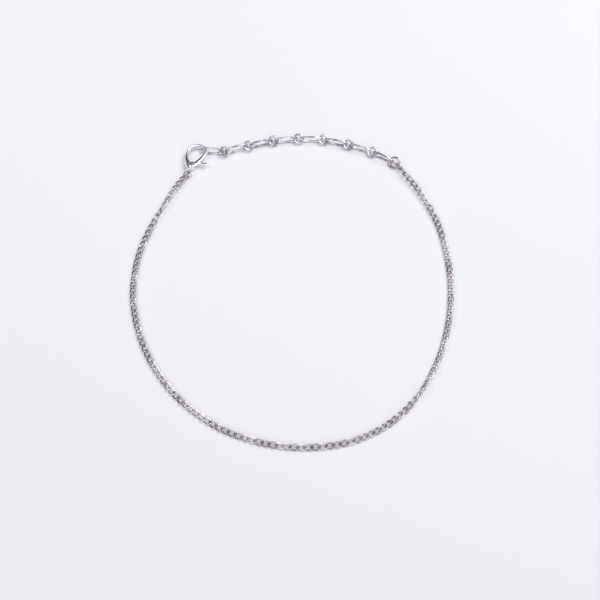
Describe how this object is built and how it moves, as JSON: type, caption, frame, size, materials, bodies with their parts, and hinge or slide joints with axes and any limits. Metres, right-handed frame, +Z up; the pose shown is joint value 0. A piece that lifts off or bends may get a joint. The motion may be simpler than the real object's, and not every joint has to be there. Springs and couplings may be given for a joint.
{
  "type": "chain anklet",
  "caption": "Fine twisted curb chain anklet with an extender of long and round links and a lobster clasp, lying closed in a loop.",
  "frame": {"origin": "middle of the loop's footprint, on the surface it lies on", "axes": "+Z up from the surface, +Y towards the extender, +X towards the end ring's side"},
  "size_m": [0.0796, 0.0882, 0.0023],
  "materials": {
    "curb_silver": "polished silver, slightly darker",
    "extender_silver": "polished silver",
    "clasp_silver": "bright polished silver"
  },
  "bodies": {
    "anklet": {"clasp_body": "clasp_silver", "clasp_pin": "clasp_silver", "clasp_ring": "curb_silver", "curb_chain_left": "curb_silver", "curb_chain_right": "curb_silver", "end_ring": "curb_silver", "long_link_1": "extender_silver", "long_link_2": "extender_silver", "long_link_3": "extender_silver", "long_link_4": "extender_silver", "long_link_5": "extender_silver", "long_link_6": "extender_silver", "long_link_7": "extender_silver", "long_link_8": "extender_silver", "round_link_1": "extender_silver", "round_link_2": "extender_silver", "round_link_3": "extender_silver", "round_link_4": "extender_silver", "round_link_5": "extender_silver", "round_link_6": "extender_silver", "round_link_7": "extender_silver"},
    "trigger": {"clasp_trigger": "clasp_silver"}
  },
  "joints": [
    {"name": "trigger_hinge", "type": "hinge", "parent": "anklet", "child": "trigger", "pos_m": [-0.02591, 0.03425, 0.0011], "axis": [0, 0, 1], "range_deg": [0, 26], "stiffness_Nm_per_rad": 0.0004}
  ]
}
